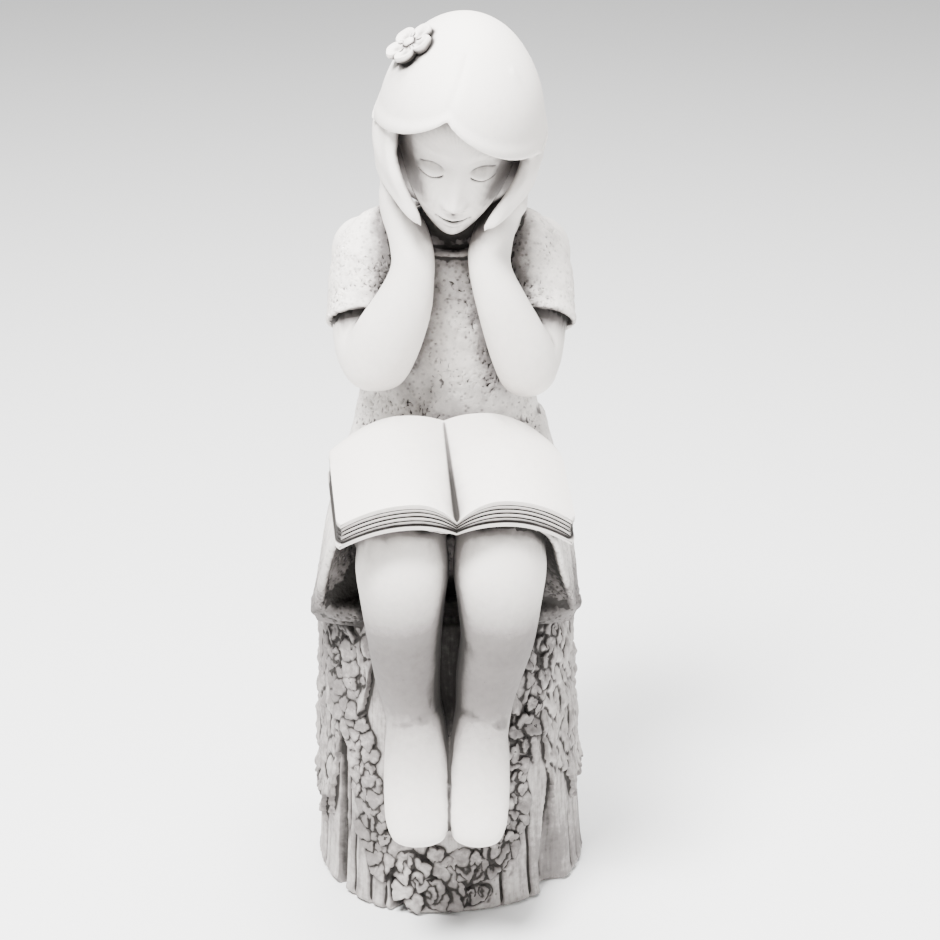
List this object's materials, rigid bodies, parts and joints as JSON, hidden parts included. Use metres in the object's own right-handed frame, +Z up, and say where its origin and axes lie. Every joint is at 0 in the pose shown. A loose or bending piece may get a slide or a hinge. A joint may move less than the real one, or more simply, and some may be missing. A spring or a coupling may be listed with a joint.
{
  "type": "garden statue",
  "caption": "Cast stone garden statue of a seated girl who reads an open book on a tree stump, with hands to her cheeks; stands by its own weight.",
  "frame": {"origin": "middle of the stump's flat underside", "axes": "+Z up; the girl faces -Y; +X is on the right of someone who looks at her face"},
  "size_m": [0.2466, 0.3309, 0.8012],
  "materials": {
    "cast_stone": "pale cast stone with a grey-brown wash left in its hollows"
  },
  "bodies": {
    "root": {"girl_on_stump": "cast_stone"}
  },
  "joints": []
}
